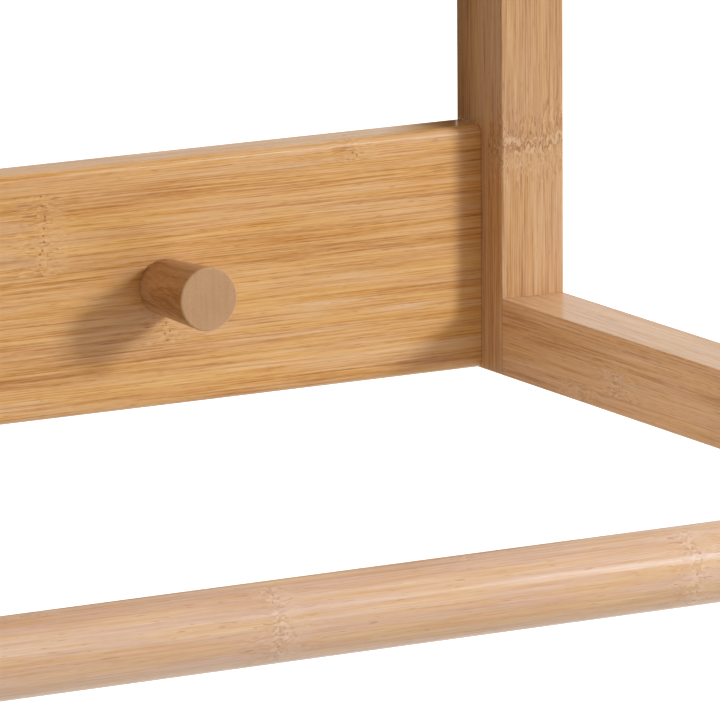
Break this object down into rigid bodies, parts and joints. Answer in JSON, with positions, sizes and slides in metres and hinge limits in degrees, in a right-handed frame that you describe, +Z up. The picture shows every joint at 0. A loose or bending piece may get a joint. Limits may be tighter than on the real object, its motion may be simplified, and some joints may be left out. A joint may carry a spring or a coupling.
{
  "type": "towel rack",
  "caption": "Wall-mounted bamboo towel rack: a slatted shelf over a board of round pegs, with a round towel rail held out in front between side arms.",
  "frame": {"origin": "midway between the two wall screw holes, on the wall plane", "axes": "+X to the right along the wall, +Y into the wall, +Z up; the rack stands out towards -Y"},
  "size_m": [0.6, 0.315, 0.28],
  "materials": {
    "bamboo_frame": "clear satin lacquer over laminated bamboo strips",
    "bamboo_board": "clear satin lacquer over laminated bamboo strips",
    "bamboo_slats": "clear satin lacquer over laminated bamboo strips",
    "bamboo_rail": "clear satin lacquer over turned bamboo",
    "peg_wood": "clear satin lacquer, fine sanded end grain",
    "screw_steel": "zinc plated, satin",
    "dowel_wood": "plain beech, unfinished"
  },
  "bodies": {
    "root": {"post_left": "bamboo_frame", "post_right": "bamboo_frame", "lower_arm_left": "bamboo_frame", "lower_arm_right": "bamboo_frame", "upper_arm_left": "bamboo_frame", "upper_arm_right": "bamboo_frame", "peg_board": "bamboo_board", "hanging_rail": "bamboo_board", "shelf_front_rail": "bamboo_frame", "shelf_slat_1": "bamboo_slats", "shelf_slat_2": "bamboo_slats", "shelf_slat_3": "bamboo_slats", "shelf_slat_4": "bamboo_slats", "shelf_slat_5": "bamboo_slats", "shelf_slat_6": "bamboo_slats", "shelf_slat_7": "bamboo_slats", "towel_rail": "bamboo_rail", "peg_1": "peg_wood", "peg_2": "peg_wood", "peg_3": "peg_wood", "peg_4": "peg_wood", "arm_screws": "screw_steel", "frame_screws": "screw_steel", "dowel_pins": "dowel_wood"}
  },
  "joints": []
}
